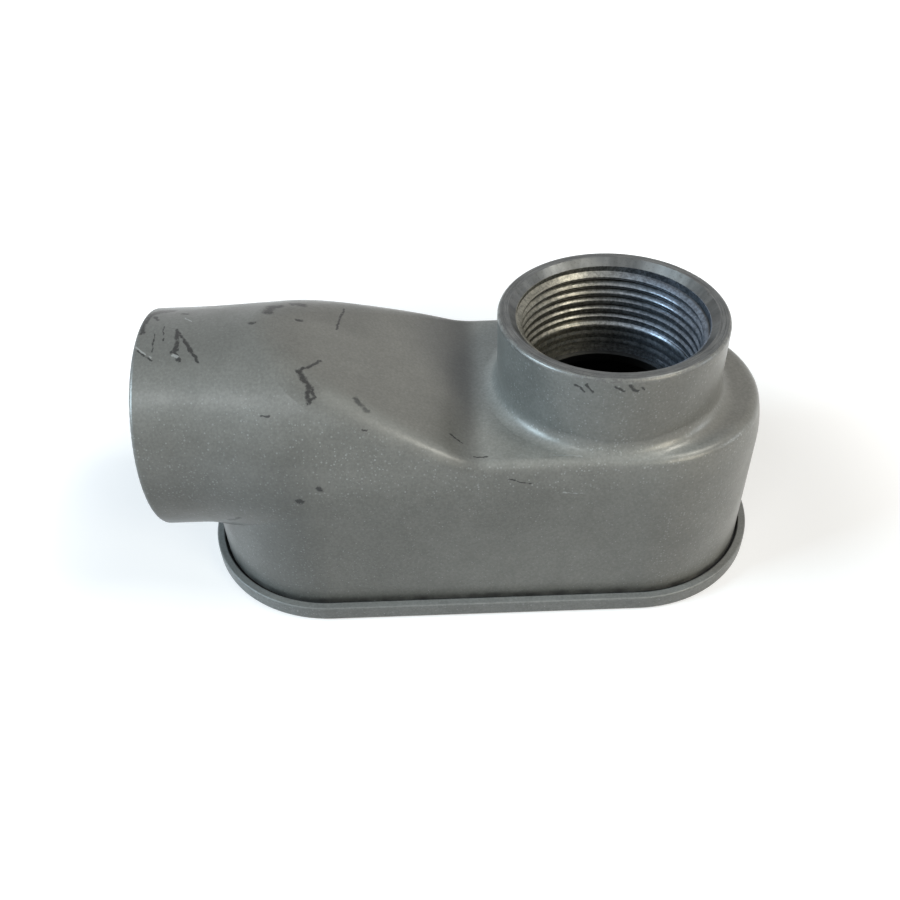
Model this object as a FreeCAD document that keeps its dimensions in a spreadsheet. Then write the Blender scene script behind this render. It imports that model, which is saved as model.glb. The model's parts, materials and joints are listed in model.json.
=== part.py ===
import FreeCAD, Part
import math
import os
import re

import Sketcher

# Conduit body with a hub at one end and a hub on its back, lying on its cover.
# The row frame: +X from the end hub towards the far end, +Z up through the back hub.
# The origin is on the back hub's axis, in the underside of the cover.

os.makedirs("parts", exist_ok=True)
doc = FreeCAD.newDocument("conduit_body")
sheet = doc.addObject("Spreadsheet::Sheet", "Sizes")

# Driving dimensions in millimetres and degrees
DRIVING = [
    ("hub_radius", 25.0, "outside of both hubs"),
    ("back_hub_top", 62.9, "height of the back hub's face"),
    ("end_hub_face", 102.6, "end hub's face, measured back from the back hub's axis"),
    ("end_hub_axis", 38.2, "height of the end hub's axis"),
    ("shell_radius", 29.0, "half width of the casting and radius of its arched back"),
    ("back_rise", 0.2, "arched back above the end hub's outside"),
    ("shell_left", 94.3, "left end of the casting's wall, back from the origin"),
    ("shell_right", 35.4, "right end of the casting's wall"),
    ("saddle_top", 44.0, "height of the flat around the back hub"),
    ("foot_start", 29.0, "where the flat turns up into the ramp, back from the origin"),
    ("foot_radius", 16.0, "hollow radius at the foot of the ramp"),
    ("ramp_angle", 24.8, "slope of the ramp"),
    ("crest_radius", 40.0, "round of the ramp's crest"),
    ("crest_rise", 0.64, "top of the crest's circle above the arched back"),
    ("crest_angle", 6.0, "slope where the crest runs out"),
    ("flare_ease", 1.2, "length of the end hub's flare over the least that covers the round end"),
    ("wall", 3.5, "casting wall"),
    ("thread_radius", 21.0, "major radius of the conduit thread"),
    ("thread_length", 16.5, "threaded length of each hub"),
    ("bore_depth", 24.3, "face of a hub to its bushing ledge"),
    ("throat_radius", 18.0, "bushing ledge's opening"),
    ("throat_depth", 2.0, "bushing ledge's thickness"),
    ("relief_radius", 19.6, "plain bore behind the thread"),
    ("skirt_wall", 3.0, "wall around the bore inside the casting"),
    ("mouth_chamfer", 1.5, "lead-in of each thread"),
    ("ridge_round", 2.5, "round on the edges of the flat"),
    ("foot_round", 3.5, "the same round where the ramp's slope begins"),
    ("crest_round", 12.6, "the same round around the crest"),
    ("hub_root_round", 3.5, "hollow round at the foot of the back hub"),
    ("hub_edge_round", 1.0, "round on the face edge of each hub"),
    ("lip_gap", 0.5, "gap between the casting's wall and the cover's lip"),
    ("lip_width", 2.0, "width of the cover's lip"),
    ("lip_height", 4.2, "height of the cover's lip"),
    ("lip_round", 0.4, "round on the lip's top edges"),
    ("cover_floor", 2.6, "thickness of the cover's plate"),
    ("cover_round", 1.0, "round on the cover's outer edge"),
    ("gasket_thickness", 0.8, "gasket, clamped"),
    ("gasket_width", 5.0, "width of the gasket along the sides"),
    ("gasket_fit", 0.3, "gap around the gasket and its holes"),
    ("gasket_land", 6.2, "gasket past a screw's axis, at each end"),
    ("seat_gap", 0.05, "casting to gasket"),
    ("screw_inset", 6.9, "screw axis in from the casting's end"),
    ("screw_radius", 2.08, "major radius of the cover screw"),
    ("screw_length", 11.0, "cover screw from end to end"),
    ("screw_head_radius", 4.0, "countersunk head of the cover screw"),
    ("screw_head_edge", 0.3, "straight edge of the screw's head"),
    ("screw_recess", 0.15, "screw head below the cover's face"),
    ("screw_point", 0.6, "chamfer on the screw's tip"),
    ("screw_fit", 0.08, "gap around a cover screw"),
    ("slot_width", 1.2, "driver slot"),
    ("slot_depth", 1.1, "driver slot"),
    ("boss_radius", 5.2, "screw boss inside the casting"),
    ("boss_height", 10.6, "screw boss above the casting's rim"),
    ("tap_depth", 9.0, "tapped hole in a boss"),
]

# Sizes that follow from the driving ones
DERIVED = [
    ("rim_level", "cover_floor + gasket_thickness + seat_gap"),
    ("shell_top", "end_hub_axis + hub_radius + back_rise"),
    ("shell_axis", "shell_top - shell_radius"),
    ("left_centre", "shell_radius - shell_left"),
    ("right_centre", "shell_right - shell_radius"),
    ("flare_length", "flare_ease * pi * sqrt((shell_radius - hub_radius) * shell_radius / 2)"),
    ("flare_start", "flare_length - left_centre"),
    ("left_screw", "screw_inset - shell_left"),
    ("right_screw", "shell_right - screw_inset"),
    ("foot_x", "foot_start + foot_radius * sin(ramp_angle)"),
    ("foot_z", "saddle_top + foot_radius * (1 - cos(ramp_angle))"),
    ("crest_z", "shell_top + crest_rise - crest_radius"),
    ("crest_start", "foot_x + (crest_z + crest_radius * cos(ramp_angle) - foot_z) / tan(ramp_angle)"),
    ("crest_x", "-crest_start - crest_radius * sin(ramp_angle)"),
    ("skirt_radius", "relief_radius + skirt_wall"),
    ("back_skirt_end", "back_hub_top - bore_depth - throat_depth"),
    ("end_skirt_end", "end_hub_face - bore_depth - throat_depth"),
    ("base_radius", "shell_radius + lip_gap"),
    ("cover_radius", "base_radius + lip_width"),
    ("opening_radius", "shell_radius - gasket_width"),
    ("opening_reach", "shell_radius - screw_inset - gasket_land"),
    ("opening_half", "sqrt(opening_radius ^ 2 - opening_reach ^ 2)"),
]


def bind(text):
    """Point the size names in an expression at the sheet."""
    return re.sub(r"\b(%s)\b" % "|".join(NAMES), r"Sizes.\1", text)


NAMES = [entry[0] for entry in DRIVING] + [entry[0] for entry in DERIVED]
for row, (alias, value, note) in enumerate(DRIVING, start=1):
    sheet.set("A%d" % row, alias)
    sheet.set("B%d" % row, str(value))
    sheet.set("C%d" % row, note)
    sheet.setAlias("B%d" % row, alias)
for row, (alias, formula) in enumerate(DERIVED, start=len(DRIVING) + 1):
    sheet.set("A%d" % row, alias)
    sheet.set("B%d" % row, "=" + formula)
    sheet.setAlias("B%d" % row, alias)
doc.recompute()


def size(text):
    """Value of an expression in the size names."""
    value = sheet.evalExpression(bind(text).replace("Sizes.", ""))
    return float(getattr(value, "Value", value))


def plane_of(body, role):
    """One of the body's own origin planes."""
    return next(item for item in body.Origin.OriginFeatures if item.Role == role)


def add_sketch(body, name, role, along="0", aside="0", up="0"):
    """Sketch on an origin plane, moved along the plane's normal and within it."""
    sketch = body.newObject("Sketcher::SketchObject", name)
    sketch.AttachmentSupport = [(plane_of(body, role), "")]
    sketch.MapMode = "FlatFace"
    sketch.setExpression("AttachmentOffset.Base.x", bind(aside))
    sketch.setExpression("AttachmentOffset.Base.y", bind(up))
    sketch.setExpression("AttachmentOffset.Base.z", bind(along))
    return sketch


def pin_point(sketch, geometry, position, at_x, at_y):
    """Hold a sketch point at two expressions."""
    for kind, text in (("DistanceX", at_x), ("DistanceY", at_y)):
        held = sketch.addConstraint(Sketcher.Constraint(kind, -1, 1, geometry, position, size(text)))
        sketch.setExpression("Constraints[%d]" % held, bind(text))


def outline(sketch, nodes):
    """Closed outline. A node is (x, y) for a line to the next node, or (x, y, radius, turn)
    for an arc to it: turn is +1 for anticlockwise and -1 for clockwise."""
    flat = [FreeCAD.Vector(size(node[0]), size(node[1]), 0) for node in nodes]
    ends = []
    for index, node in enumerate(nodes):
        start, stop = flat[index], flat[(index + 1) % len(nodes)]
        if len(node) == 2:
            made = sketch.addGeometry(Part.LineSegment(start, stop))
            ends.append((made, 1, 2))
            continue
        radius, turn = size(node[2]), node[3]
        chord = stop - start
        rise = math.sqrt(radius ** 2 - (chord.Length / 2) ** 2)
        side = FreeCAD.Vector(-chord.y, chord.x, 0).normalize()
        centre = (start + stop) * 0.5 + side * (rise * turn)
        first, last = (start, stop) if turn > 0 else (stop, start)
        angles = [math.atan2(p.y - centre.y, p.x - centre.x) for p in (first, last)]
        circle = Part.Circle(centre, FreeCAD.Vector(0, 0, 1), radius)
        made = sketch.addGeometry(Part.ArcOfCircle(circle, angles[0], angles[1]))
        held = sketch.addConstraint(Sketcher.Constraint("Radius", made, radius))
        sketch.setExpression("Constraints[%d]" % held, bind(node[2]))
        ends.append((made, 1, 2) if turn > 0 else (made, 2, 1))
    for index, (made, start, stop) in enumerate(ends):
        after = ends[(index + 1) % len(ends)]
        sketch.addConstraint(Sketcher.Constraint("Coincident", made, stop, after[0], after[1]))
        pin_point(sketch, made, start, nodes[index][0], nodes[index][1])


def ring(sketch, radius, at_x="0", at_y="0"):
    """Circle of a bound radius at a bound centre."""
    centre = FreeCAD.Vector(size(at_x), size(at_y), 0)
    made = sketch.addGeometry(Part.Circle(centre, FreeCAD.Vector(0, 0, 1), size(radius)))
    held = sketch.addConstraint(Sketcher.Constraint("Radius", made, size(radius)))
    sketch.setExpression("Constraints[%d]" % held, bind(radius))
    pin_point(sketch, made, 3, at_x, at_y)


def pull(body, kind, name, sketch, length, middle=False, back=False):
    """Pad or Pocket of a bound length."""
    feature = body.newObject("PartDesign::" + kind, name)
    feature.Profile = sketch
    feature.setExpression("Length", bind(length))
    if middle:
        feature.SideType = "Symmetric"
    feature.Reversed = back
    return feature


def turn_about(body, kind, name, sketch, axis, angle, middle=False):
    """Revolution or Groove about one of the sketch's axes."""
    feature = body.newObject("PartDesign::" + kind, name)
    feature.Profile = sketch
    feature.ReferenceAxis = (sketch, [axis])
    feature.Angle = angle
    feature.Midplane = middle
    return feature


def borders(shape, wanted, barred):
    """Names of the edges with the wanted face on one side and no barred face."""
    names = []
    for number, edge in enumerate(shape.Edges, start=1):
        faces = shape.ancestorsOfType(edge, Part.Face)
        if len(faces) != 2 or any(barred(face) for face in faces):
            continue
        if wanted(faces[0]) != wanted(faces[1]):
            names.append("Edge%d" % number)
    return names


def circles(shape, radius, centres):
    """Names of the circular edges of this radius about any of these centres."""
    names = []
    for number, edge in enumerate(shape.Edges, start=1):
        if edge.Length < 0.01 or not isinstance(edge.Curve, Part.Circle):
            continue
        if abs(edge.Curve.Radius - radius) > 0.01:
            continue
        if any((edge.Curve.Center - centre).Length < 0.01 for centre in centres):
            names.append("Edge%d" % number)
    return names


def round_off(body, name, radius, pick):
    """Fillet of the edges that the pick finds on the body's present shape."""
    doc.recompute()
    base = body.Tip
    feature = body.newObject("PartDesign::Fillet", name)
    feature.Base = (base, pick(base.Shape))
    feature.setExpression("Radius", bind(radius))
    return feature


def radius_at(x, stations):
    """Radius at x between stations (x, radius) that run from right to left."""
    for (right, first), (left, last) in zip(stations, stations[1:]):
        if left <= x <= right:
            return first + (last - first) * (right - x) / (right - left)
    return stations[0][1] if x > stations[0][0] else stations[-1][1]


def round_growing(body, name, stations, names):
    """Fillet of a body's edges whose radius follows x through the stations."""
    places = [(size(at_x), size(radius)) for at_x, radius in stations]
    rows = []
    for edge_name in names:
        ends = body.Shape.getElement(edge_name).Vertexes
        radii = [radius_at(vertex.Point.x, places) for vertex in (ends[0], ends[-1])]
        rows.append((int(edge_name[4:]), radii[0], radii[1]))
    feature = doc.addObject("Part::Fillet", name)
    feature.Base = body
    feature.Edges = rows
    return feature


def across(face):
    """True for the flat, the ramp and their rounds, which all run across the casting."""
    surface = face.Surface
    if isinstance(surface, Part.Plane):
        return surface.Axis.z > 0.5 and face.CenterOfMass.z > size("shell_axis")
    return isinstance(surface, Part.Cylinder) and abs(surface.Axis.y) > 0.999


def nothing(face):
    """True for no face."""
    return False


def arched_form(body, inset, base, left_domed):
    """Box with an arched back and round ends, drawn in by the inset. The right end is domed
    under the arch. So is the left one, or it stops flat at the arch's axis."""
    radius = "(shell_radius - %s)" % inset
    top = "(shell_axis + %s)" % radius
    section = add_sketch(body, "Section", "YZ_Plane", along="left_centre")
    outline(section, [
        ("-" + radius, base),
        (radius, base),
        (radius, "shell_axis", radius, 1),
        ("0", top, radius, 1),
        ("-" + radius, "shell_axis"),
    ])
    pull(body, "Pad", "Middle", section, "right_centre - left_centre")
    for name, centre, side, turn, domed in (("LeftEnd", "left_centre", "-", 1, left_domed),
                                            ("RightEnd", "right_centre", "", -1, True)):
        half = add_sketch(body, name + "Half", "XZ_Plane", aside=centre)
        outline(half, [
            ("0", base),
            ("0", top, radius, turn) if domed else ("0", "shell_axis"),
            (side + radius, "shell_axis"),
            (side + radius, base),
        ])
        turn_about(body, "Revolution", name, half, "V_Axis", 180, middle=True)
    return body


FLARE_STEPS = 4


def add_flare(body):
    """Smooth widening of the end hub into the arched back, drawn through circles."""
    circles_along = []
    for number in range(FLARE_STEPS + 1):
        way = number / FLARE_STEPS
        share = (1 - math.cos(math.pi * way)) / 2
        section = add_sketch(body, "Flare%d" % number, "YZ_Plane",
                             along="%.6f * flare_length - flare_start" % way)
        ring(section, "hub_radius + %.6f * (shell_radius - hub_radius)" % share,
             "0", "end_hub_axis + %.6f * (shell_axis - end_hub_axis)" % share)
        circles_along.append(section)
    flare = body.newObject("PartDesign::AdditiveLoft", "Flare")
    flare.Profile = circles_along[0]
    flare.Sections = circles_along[1:]
    return flare


def saddle_cut(body, inset):
    """Clear the room above the flat and the ramp, both lowered by the inset."""
    steep = "ramp_angle"
    foot = "(foot_radius + %s)" % inset
    crest = "(crest_radius - %s)" % inset
    level = "saddle_top - %s" % inset
    sky = "shell_top + hub_radius"
    cut = add_sketch(body, "Saddle", "XZ_Plane")
    outline(cut, [
        ("shell_right + wall", level),
        ("-foot_start", level, foot, -1),
        ("-foot_start - %s * sin(%s)" % (foot, steep),
         "saddle_top + foot_radius - %s * cos(%s)" % (foot, steep)),
        ("crest_x + %s * sin(%s)" % (crest, steep),
         "crest_z + %s * cos(%s)" % (crest, steep), crest, 1),
        ("crest_x + %s * sin(crest_angle)" % crest,
         "crest_z + %s * cos(crest_angle)" % crest),
        ("crest_x + %s * sin(crest_angle)" % crest, sky),
        ("shell_right + wall", sky),
    ])
    return pull(body, "Pocket", "SaddleCut", cut, "4 * shell_radius", middle=True)


def make_chamber():
    """Hollow of the casting: its outside drawn in by the wall."""
    body = doc.addObject("PartDesign::Body", "Chamber")
    body.Label = "chamber_form"
    arched_form(body, "wall", "0", True)
    saddle_cut(body, "wall")
    return body


# Half section of a hub's bore: depth from the hub's face, and radius
BORE = [
    ("-1", "0"),
    ("-1", "thread_radius + mouth_chamfer"),
    ("0", "thread_radius + mouth_chamfer"),
    ("mouth_chamfer", "thread_radius"),
    ("thread_length", "thread_radius"),
    ("thread_length", "relief_radius"),
    ("bore_depth", "relief_radius"),
    ("bore_depth", "throat_radius"),
    ("bore_depth + 2 * throat_depth", "throat_radius"),
    ("bore_depth + 2 * throat_depth", "0"),
]


def make_outside():
    """Outside of the casting without its back hub, with the ridge rounded."""
    body = doc.addObject("PartDesign::Body", "Outside")
    body.Label = "outside_form"
    arched_form(body, "0", "rim_level", False)
    add_flare(body)
    end_hub = add_sketch(body, "EndHubCircle", "YZ_Plane", along="-end_hub_face")
    ring(end_hub, "hub_radius", "0", "end_hub_axis")
    pull(body, "Pad", "EndHub", end_hub, "end_hub_face - flare_start")
    saddle_cut(body, "0")
    doc.recompute()
    return round_growing(body, "RidgeRound", [
        ("-foot_start", "ridge_round"),
        ("-foot_x", "foot_round"),
        ("-crest_start", "crest_round"),
    ], borders(body.Shape, across, nothing))


def make_housing(outside, chamber):
    """Cast housing: outside form, back hub, chamber, bores and screw bosses."""
    body = doc.addObject("PartDesign::Body", "Housing")
    body.Label = "housing"
    body.BaseFeature = outside

    back_hub = add_sketch(body, "BackHubCircle", "XY_Plane", along="saddle_top - wall / 2")
    ring(back_hub, "hub_radius")
    pull(body, "Pad", "BackHub", back_hub, "back_hub_top - saddle_top + wall / 2")
    foot = FreeCAD.Vector(0, 0, size("saddle_top"))
    round_off(body, "BackHubRoot", "hub_root_round",
              lambda shape: circles(shape, size("hub_radius"), [foot]))

    hollow = body.newObject("PartDesign::Boolean", "ChamberCut")
    hollow.setObjects([chamber])
    hollow.Type = "Cut"

    end_skirt = add_sketch(body, "EndSkirtCircle", "YZ_Plane", along="-shell_left + wall / 2")
    ring(end_skirt, "skirt_radius", "0", "end_hub_axis")
    pull(body, "Pad", "EndSkirt", end_skirt, "shell_left - wall / 2 - end_skirt_end")
    back_skirt = add_sketch(body, "BackSkirtCircle", "XY_Plane", along="back_skirt_end")
    ring(back_skirt, "skirt_radius")
    pull(body, "Pad", "BackSkirt", back_skirt, "saddle_top - wall / 2 - back_skirt_end")

    for side, at_x in SCREWS:
        boss = add_sketch(body, side + "BossCircle", "XY_Plane", along="rim_level")
        ring(boss, "boss_radius", at_x)
        pull(body, "Pad", side + "Boss", boss, "boss_height")

    end_bore = add_sketch(body, "EndBoreSection", "XZ_Plane", aside="-end_hub_face", up="end_hub_axis")
    outline(end_bore, BORE)
    turn_about(body, "Groove", "EndBore", end_bore, "H_Axis", 360)
    back_bore = add_sketch(body, "BackBoreSection", "XZ_Plane", up="back_hub_top")
    outline(back_bore, [(radius, "-(%s)" % depth) for depth, radius in reversed(BORE)])
    turn_about(body, "Groove", "BackBore", back_bore, "V_Axis", 360)

    for side, at_x in SCREWS:
        hole = add_sketch(body, side + "TapCircle", "XY_Plane", along="rim_level")
        ring(hole, "screw_radius + screw_fit", at_x)
        pull(body, "Pocket", side + "Tap", hole, "tap_depth", back=True)

    mouths = [FreeCAD.Vector(-size("end_hub_face"), 0, size("end_hub_axis")),
              FreeCAD.Vector(0, 0, size("back_hub_top"))]
    round_off(body, "HubEdges", "hub_edge_round",
              lambda shape: circles(shape, size("hub_radius"), mouths))
    return body


def loop(radius):
    """Outline with straight sides and round ends, concentric with the casting's."""
    return [
        ("left_centre", "-" + radius),
        ("right_centre", "-" + radius, radius, 1),
        ("right_centre + " + radius, "0", radius, 1),
        ("right_centre", radius),
        ("left_centre", radius, radius, 1),
        ("left_centre - " + radius, "0", radius, 1),
    ]


def screw_section(gap):
    """Half section of a cover screw and of its seat, which is larger by the gap."""
    shank = "(screw_radius + %s)" % gap
    head = "(screw_head_radius + %s)" % gap
    edge = "screw_recess + screw_head_edge"
    return shank, head, [(head, edge), (shank, "%s + %s - %s" % (edge, head, shank))]


def make_cover():
    """Shallow tray whose lip stands around the casting's rim."""
    body = doc.addObject("PartDesign::Body", "Cover")
    body.Label = "cover"
    plan = add_sketch(body, "Plan", "XY_Plane")
    outline(plan, loop("cover_radius"))
    pull(body, "Pad", "Blank", plan, "lip_height")
    tray = add_sketch(body, "Tray", "XY_Plane", along="cover_floor")
    outline(tray, loop("base_radius"))
    pull(body, "Pocket", "TrayCut", tray, "lip_height", back=True)
    round_off(body, "LipRound", "lip_round",
              lambda shape: borders(shape, lambda face: at_level(face, "lip_height"), nothing))
    round_off(body, "FaceRound", "cover_round",
              lambda shape: borders(shape, lambda face: at_level(face, "0"), nothing))
    shank, head, seat = screw_section("screw_fit")
    for side, at_x in SCREWS:
        hole = add_sketch(body, side + "SeatSection", "XZ_Plane", aside=at_x)
        outline(hole, [("0", "-1"), (head, "-1")] + seat + [
            (shank, "lip_height"),
            ("0", "lip_height"),
        ])
        turn_about(body, "Groove", side + "Seat", hole, "V_Axis", 360)
    return body


def at_level(face, level):
    """True for a horizontal face at this height."""
    surface = face.Surface
    if not isinstance(surface, Part.Plane) or abs(surface.Axis.z) < 0.999:
        return False
    return abs(face.CenterOfMass.z - size(level)) < 0.01


def make_gasket():
    """Flat gasket with a land at each end, which the cover screws pass through."""
    body = doc.addObject("PartDesign::Body", "Gasket")
    body.Label = "gasket"
    plan = add_sketch(body, "Plan", "XY_Plane", along="cover_floor")
    outline(plan, loop("(base_radius - gasket_fit)"))
    pull(body, "Pad", "Sheet", plan, "gasket_thickness")
    opening = add_sketch(body, "Opening", "XY_Plane", along="cover_floor")
    left, right = "left_centre - opening_reach", "right_centre + opening_reach"
    outline(opening, [
        ("left_centre", "-opening_radius"),
        ("right_centre", "-opening_radius", "opening_radius", 1),
        (right, "-opening_half"),
        (right, "opening_half", "opening_radius", 1),
        ("right_centre", "opening_radius"),
        ("left_centre", "opening_radius", "opening_radius", 1),
        (left, "opening_half"),
        (left, "-opening_half", "opening_radius", 1),
    ])
    pull(body, "Pocket", "OpeningCut", opening, "gasket_thickness", back=True)
    for side, at_x in SCREWS:
        hole = add_sketch(body, side + "HoleCircle", "XY_Plane", along="cover_floor")
        ring(hole, "screw_radius + gasket_fit", at_x)
        pull(body, "Pocket", side + "Hole", hole, "gasket_thickness", back=True)
    return body


def make_screw(side, at_x):
    """Slotted countersunk screw, head down in the cover's face."""
    body = doc.addObject("PartDesign::Body", side + "Screw")
    body.Label = "cover_screw_" + side.lower()
    section = add_sketch(body, "Section", "XZ_Plane", aside=at_x)
    shank, head, cone = screw_section("0")
    outline(section, [("0", "screw_recess"), (head, "screw_recess")] + cone + [
        (shank, "screw_recess + screw_length - screw_point"),
        (shank + " - screw_point", "screw_recess + screw_length"),
        ("0", "screw_recess + screw_length"),
    ])
    turn_about(body, "Revolution", "Turned", section, "V_Axis", 360)
    slot = add_sketch(body, "Slot", "XZ_Plane", aside=at_x)
    outline(slot, [
        ("-slot_width / 2", "-1"),
        ("slot_width / 2", "-1"),
        ("slot_width / 2", "screw_recess + slot_depth"),
        ("-slot_width / 2", "screw_recess + slot_depth"),
    ])
    pull(body, "Pocket", "SlotCut", slot, "3 * screw_head_radius", middle=True)
    return body


SCREWS = [("Left", "left_screw"), ("Right", "right_screw")]
parts = [make_housing(make_outside(), make_chamber()), make_cover(), make_gasket()]
parts += [make_screw(side, at_x) for side, at_x in SCREWS]
doc.recompute()

failed = [item.Name for item in doc.Objects if {"Invalid", "Error"} & set(item.State)]
if failed:
    raise RuntimeError("failed objects: " + ", ".join(failed))
for part in parts:
    if part.Shape.isNull() or not part.Shape.isValid() or len(part.Shape.Solids) != 1:
        raise RuntimeError(part.Label + " is not one valid solid")
for part in parts:
    part.Shape.exportStep("parts/%s.step" % part.Label)
    box = part.Shape.BoundBox
    print(part.Label, round(part.Shape.Volume, 1), "mm3", len(part.Shape.Faces), "faces",
          [round(v, 2) for v in (box.XMin, box.XMax, box.YMin, box.YMax, box.ZMin, box.ZMax)])
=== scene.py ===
import json
import math

import bmesh
import bpy
from mathutils import Matrix, Vector
from mathutils.bvhtree import BVHTree


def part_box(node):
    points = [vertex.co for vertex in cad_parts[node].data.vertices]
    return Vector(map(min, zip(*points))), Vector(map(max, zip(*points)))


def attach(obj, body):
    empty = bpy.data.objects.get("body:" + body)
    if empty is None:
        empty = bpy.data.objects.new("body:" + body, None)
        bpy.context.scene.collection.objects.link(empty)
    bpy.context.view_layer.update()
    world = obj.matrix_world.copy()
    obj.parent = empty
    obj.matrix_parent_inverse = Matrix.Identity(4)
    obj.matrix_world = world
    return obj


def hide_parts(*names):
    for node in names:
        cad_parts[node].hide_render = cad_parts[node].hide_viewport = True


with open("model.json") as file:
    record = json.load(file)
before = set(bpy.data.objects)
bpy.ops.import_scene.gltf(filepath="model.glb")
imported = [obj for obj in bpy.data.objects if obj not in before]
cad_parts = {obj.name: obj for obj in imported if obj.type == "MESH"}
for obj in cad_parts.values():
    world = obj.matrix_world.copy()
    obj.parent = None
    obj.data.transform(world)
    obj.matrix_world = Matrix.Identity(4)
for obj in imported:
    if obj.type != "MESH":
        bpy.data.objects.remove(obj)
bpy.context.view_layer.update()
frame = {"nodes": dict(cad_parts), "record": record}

MM = 0.001
IMAGE_PX = 900
SENSOR_MM = 36.0

# The photograph's camera: place in metres, angles in radians, focal length in pixels
CAMERA_AT = Vector((-0.034762, -0.168672, 0.173491))
CAMERA_YAW = 0.010
CAMERA_PITCH = 0.724
CAMERA_ROLL = 0.043
FOCAL_PX = 924.86
CLIP_START = 0.01

# Places on the part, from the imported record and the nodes' boxes
MOUNTS = {mount["name"]: mount for mount in frame["record"]["mounts"]}
HUB_AXIS_Z = MOUNTS["end_hub"]["pos_m"][2]
THREAD_RADIUS = MOUNTS["end_hub"]["dims"]["r_mm"] * MM
MOUTH_CHAMFER = 1.5 * MM
END_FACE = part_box("housing")[0].x
BACK_FACE = MOUNTS["back_hub"]["pos_m"][2] + MOUTH_CHAMFER
FLOOR_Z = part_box("cover")[0].z
BORE_DEPTH = 24.1 * MM
SHELL_ENDS = (-65.3 * MM, 6.4 * MM)
LIP_INNER = 29.5 * MM

# Zones of the surface: where each fade of a material starts and ends
MACHINED_RADIUS = (24.35 * MM, 24.55 * MM)
MACHINED_END = (BORE_DEPTH, BORE_DEPTH + 0.4 * MM)
EDGE_DEPTH = (0.3 * MM, 1.3 * MM)
EDGE_RADIUS = (24.1 * MM, 25.4 * MM)
EDGE_BLUR = 0.2 * MM
RING_STRETCH = 0.5 * MM
CHAMBER_TOP = (40.6 * MM, 41.0 * MM)
CHAMBER_WALL = (26.6 * MM, 27.0 * MM)
# Painted shade, mottled with dirt, at the casting's foot inside the cover's lip
RIM_SHADE_AND_DIRT_TOP = (4.3 * MM, 6.2 * MM)
LIP_GAP = (LIP_INNER, LIP_INNER + 0.35 * MM)
TRAY_TOP = (2.3 * MM, 2.5 * MM)
LIP_FOOT = (0.9 * MM, 1.8 * MM)
# Side of the bore where the painted reflection turns from olive to bluish
THREAD_SHADE_SIDE = (-14 * MM, 8 * MM)
THREAD_ROOT = (20.35 * MM, 20.80 * MM)
FIRST_TURN = (1.2 * MM, 1.8 * MM)
LAST_TURN = (14 * MM, 17 * MM)

# Painted light and shade on the paint: fades along the axes, and the change of shade of each patch
FLAT_RISE = (41.5 * MM, 43.8 * MM)
FLAT_UPPER = (44.5 * MM, 47 * MM)
FLAT_END = (8 * MM, 18 * MM)
FOOT_START = -46 * MM
FOOT_END = (-32.6 * MM, -27.6 * MM)
FOOT_SIDE = (-24 * MM, -10 * MM)
CREST_END = (-52 * MM, -42 * MM)
CREST_RISE = (58.5 * MM, 62.5 * MM)
BEYOND_END = (-58 * MM, -46 * MM)
BEYOND_RISE = (50 * MM, 54 * MM)
BEYOND_SIDE = (2 * MM, 9 * MM)
UNDER_END = (-72 * MM, -62 * MM)
UNDER_TOP = (42 * MM, 56 * MM)
FOOT_PAINTED_SHADE = -0.45
FLAT_PAINTED_LIGHT = 0.32
CREST_PAINTED_SHADE = -0.14
BEYOND_PAINTED_SHADE = -0.16
UNDER_PAINTED_SHADE = -0.25

# Conduit thread, 11.5 turns to the inch
THREAD_PITCH = 25.4 / 11.5 * MM
THREAD_END = 24.5 * MM
THREAD_FADE = (13.5 * MM, 16.0 * MM)
THREAD_DEPTH = 1.50 * MM
FADED_DEPTH = 0.30 * MM
THREAD_TAPER = 1 / 32
LEAD_SLOPE = 3
BORED_RADIUS = 19.6 * MM
THREAD_BACK = 0.06 * MM
THREAD_INSET = 0.15 * MM
THREAD_SIDES = 160
THREAD_PHASES = (0.0, 0.07, 0.19, 0.31, 0.43, 0.57, 0.69, 0.81, 0.93)

# Cover screws, 32 turns to the inch; the driver slot ends at the head ring of this number
SCREW_PITCH = 25.4 / 32 * MM
SCREW_RADIUS = 2.08 * MM
SCREW_THREAD_DEPTH = 0.42 * MM
HEAD_RINGS = ((4.0 * MM, 0.15 * MM), (4.0 * MM, 0.45 * MM), (3.2 * MM, 1.25 * MM),
              (2.08 * MM, 2.37 * MM))
SLOT_WIDTH = 1.2 * MM
SCREW_END = 11.15 * MM
SCREW_POINT = 0.6 * MM
SCREW_SIDES = 48
SCREW_PHASES = (0.0, 0.12, 0.44, 0.56, 0.88)
SLOT_RING = 2

# Plain strip before the first and after the last row of a thread, as a share of its pitch
END_MARGIN = 0.03
THREAD_CREASE = 35
SCREW_CREASE = 30
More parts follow.
